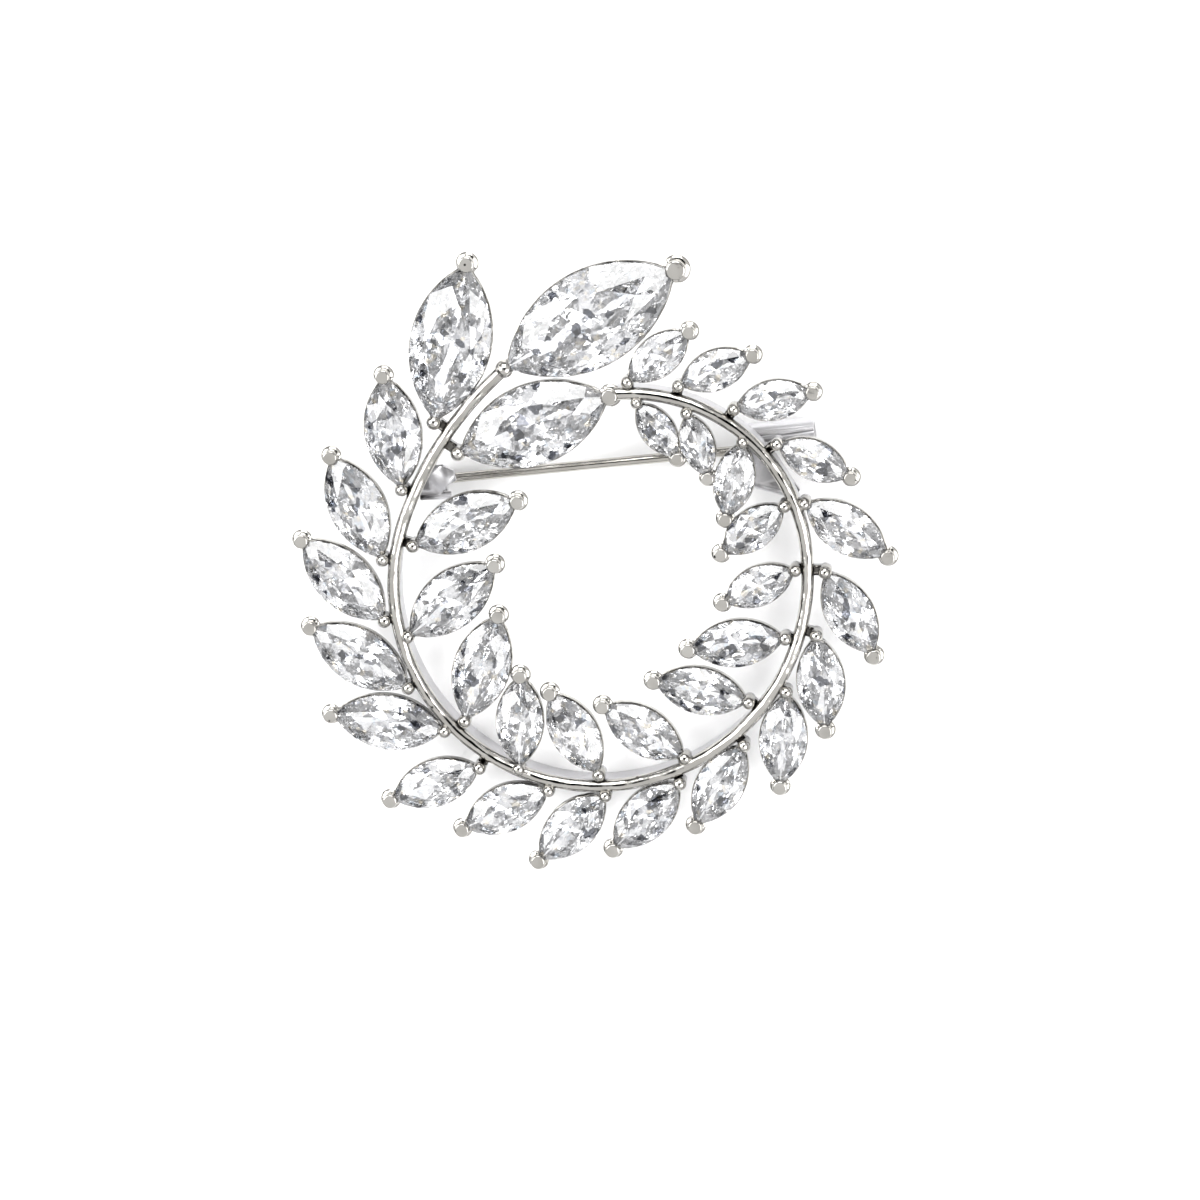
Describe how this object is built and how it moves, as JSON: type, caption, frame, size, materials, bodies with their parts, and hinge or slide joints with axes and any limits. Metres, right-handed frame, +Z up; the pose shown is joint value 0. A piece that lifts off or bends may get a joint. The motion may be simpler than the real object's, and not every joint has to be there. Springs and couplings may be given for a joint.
{
  "type": "leaf brooch",
  "caption": "Open wreath brooch of clear marquise-cut leaf stones in a silver-coloured wire setting, with a hinged pin and a C-shaped catch on its back.",
  "frame": {"origin": "on the surface that the brooch lies on, below the middle of the whole brooch's outline", "axes": "+Z up, away from the surface; +Y towards the end of the wreath with the largest leaf; +X towards the catch, nearly along the pin"},
  "size_m": [0.0448, 0.0464, 0.0078],
  "materials": {
    "silver_metal": "polished bright plating with fine casting unevenness",
    "clear_stone": "clear colourless stone with polished flat facets",
    "pin_metal": "drawn bright wire"
  },
  "bodies": {
    "brooch": {"wreath_frame": "silver_metal", "stone_outer_01": "clear_stone", "stone_outer_02": "clear_stone", "stone_outer_03": "clear_stone", "stone_outer_04": "clear_stone", "stone_outer_05": "clear_stone", "stone_outer_06": "clear_stone", "stone_outer_07": "clear_stone", "stone_outer_08": "clear_stone", "stone_outer_09": "clear_stone", "stone_outer_10": "clear_stone", "stone_outer_11": "clear_stone", "stone_outer_12": "clear_stone", "stone_outer_13": "clear_stone", "stone_outer_14": "clear_stone", "stone_outer_15": "clear_stone", "stone_outer_16": "clear_stone", "stone_outer_17": "clear_stone", "stone_outer_18": "clear_stone", "stone_outer_19": "clear_stone", "stone_outer_20": "clear_stone", "stone_inner_01": "clear_stone", "stone_inner_02": "clear_stone", "stone_inner_03": "clear_stone", "stone_inner_04": "clear_stone", "stone_inner_05": "clear_stone", "stone_inner_06": "clear_stone", "stone_inner_07": "clear_stone", "stone_inner_08": "clear_stone", "stone_inner_09": "clear_stone", "stone_inner_10": "clear_stone", "stone_inner_11": "clear_stone", "stone_inner_12": "clear_stone", "stone_inner_13": "clear_stone", "stone_inner_14": "clear_stone", "hinge_rivet": "pin_metal"},
    "pin": {"pin_stem": "pin_metal"}
  },
  "joints": [
    {"name": "pin_hinge", "type": "hinge", "parent": "brooch", "child": "pin", "pos_m": [-0.01206, 0.00588, 0.00093], "axis": [-0.1132, 0.9772, -0.1799], "range_deg": [0, 75]}
  ]
}
